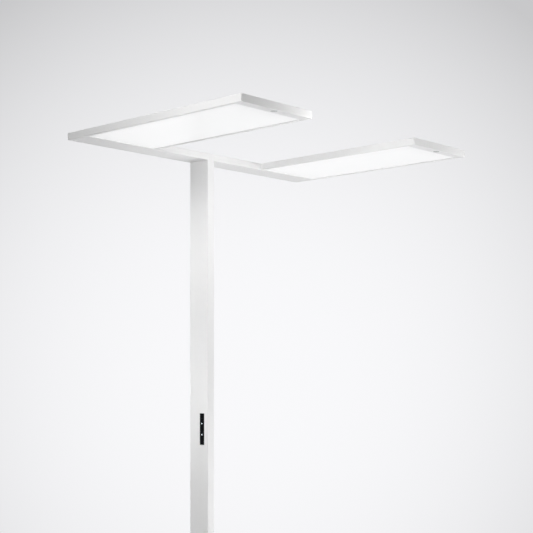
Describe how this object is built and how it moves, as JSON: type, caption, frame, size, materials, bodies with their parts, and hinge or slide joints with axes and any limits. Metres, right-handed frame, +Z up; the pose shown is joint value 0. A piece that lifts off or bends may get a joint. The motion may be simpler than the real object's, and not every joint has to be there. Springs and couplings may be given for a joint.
{
  "type": "office floor lamp",
  "caption": "Free-standing office floor lamp: flat base plate, slim rectangular column with sprung keys, and a crossbar with two flat luminous heads.",
  "frame": {"origin": "on the floor, under the middle of the lamp's outline, cable gland included inside the base's depth", "axes": "+Z up; the heads reach towards -Y; the crossbar runs along X, with the control keys on the column's -X face"},
  "size_m": [0.93, 0.69, 1.95],
  "materials": {
    "coated_steel": "satin white powder coat on steel",
    "coated_aluminium": "satin white powder coat on aluminium",
    "plain_steel": "zinc plated steel",
    "plain_aluminium": "mill finish sheet",
    "black_rubber": "moulded rubber",
    "glide_rubber": "moulded non-slip pad",
    "black_plastic": "fine moulded texture",
    "gloss_black": "smooth black front",
    "light_dot": "translucent light pipe",
    "white_plastic": "moulded casing",
    "circuit_board": "white solder resist",
    "lead_sheath": "flexible sheath",
    "lit_diffuser": "opal acrylic, evenly lit from behind",
    "uplight_lens": "frosted lens",
    "clear_acrylic": "clear light guide",
    "reflector_film": "white diffuse film",
    "sensor_lens": "dark translucent lens"
  },
  "bodies": {
    "lamp": {"base_plate": "coated_steel", "base_glides": "glide_rubber", "foot_gasket": "black_rubber", "foot_block": "plain_steel", "foot_screws": "plain_steel", "column": "coated_aluminium", "column_screws": "plain_steel", "cable_gland": "black_plastic", "gland_cap": "black_plastic", "gland_nut": "black_plastic", "driver_tray": "plain_steel", "led_drivers": "white_plastic", "driver_screws": "plain_steel", "terminal_block": "white_plastic", "control_housing": "black_plastic", "control_bezel": "gloss_black", "control_board": "circuit_board", "inner_leads": "lead_sheath", "top_block": "plain_steel", "top_screws": "plain_steel", "crossbar": "coated_aluminium", "crossbar_cover": "coated_aluminium", "crossbar_cover_screws": "plain_steel", "end_caps": "coated_aluminium", "end_cap_screws": "coated_steel", "lead_grommets": "black_rubber", "head_leads": "lead_sheath", "head_corner_keys": "plain_steel", "head_fixing_screws": "plain_steel", "head_cover_screws": "plain_steel", "sensor_lenses": "sensor_lens", "sensor_housings": "black_plastic", "reflectors": "reflector_film", "left_outer_rail": "coated_aluminium", "left_inner_rail": "coated_aluminium", "left_front_rail": "coated_aluminium", "left_rear_rail": "coated_aluminium", "left_diffuser": "lit_diffuser", "left_light_guide": "clear_acrylic", "left_back_plate": "plain_aluminium", "left_led_strips": "circuit_board", "left_uplight_board": "circuit_board", "left_uplight_lens": "uplight_lens", "left_top_cover": "coated_aluminium", "right_outer_rail": "coated_aluminium", "right_inner_rail": "coated_aluminium", "right_front_rail": "coated_aluminium", "right_rear_rail": "coated_aluminium", "right_diffuser": "lit_diffuser", "right_light_guide": "clear_acrylic", "right_back_plate": "plain_aluminium", "right_led_strips": "circuit_board", "right_uplight_board": "circuit_board", "right_uplight_lens": "uplight_lens", "right_top_cover": "coated_aluminium"},
    "upper_key_body": {"upper_key": "gloss_black", "upper_key_dot": "light_dot"},
    "lower_key_body": {"lower_key": "gloss_black", "lower_key_dot": "light_dot"}
  },
  "joints": [
    {"name": "upper_key_press", "type": "slide", "parent": "lamp", "child": "upper_key_body", "axis": [1, 0, 0], "range_m": [0, 0.0008], "stiffness_N_per_m": 2500},
    {"name": "lower_key_press", "type": "slide", "parent": "lamp", "child": "lower_key_body", "axis": [1, 0, 0], "range_m": [0, 0.0008], "stiffness_N_per_m": 2500}
  ]
}
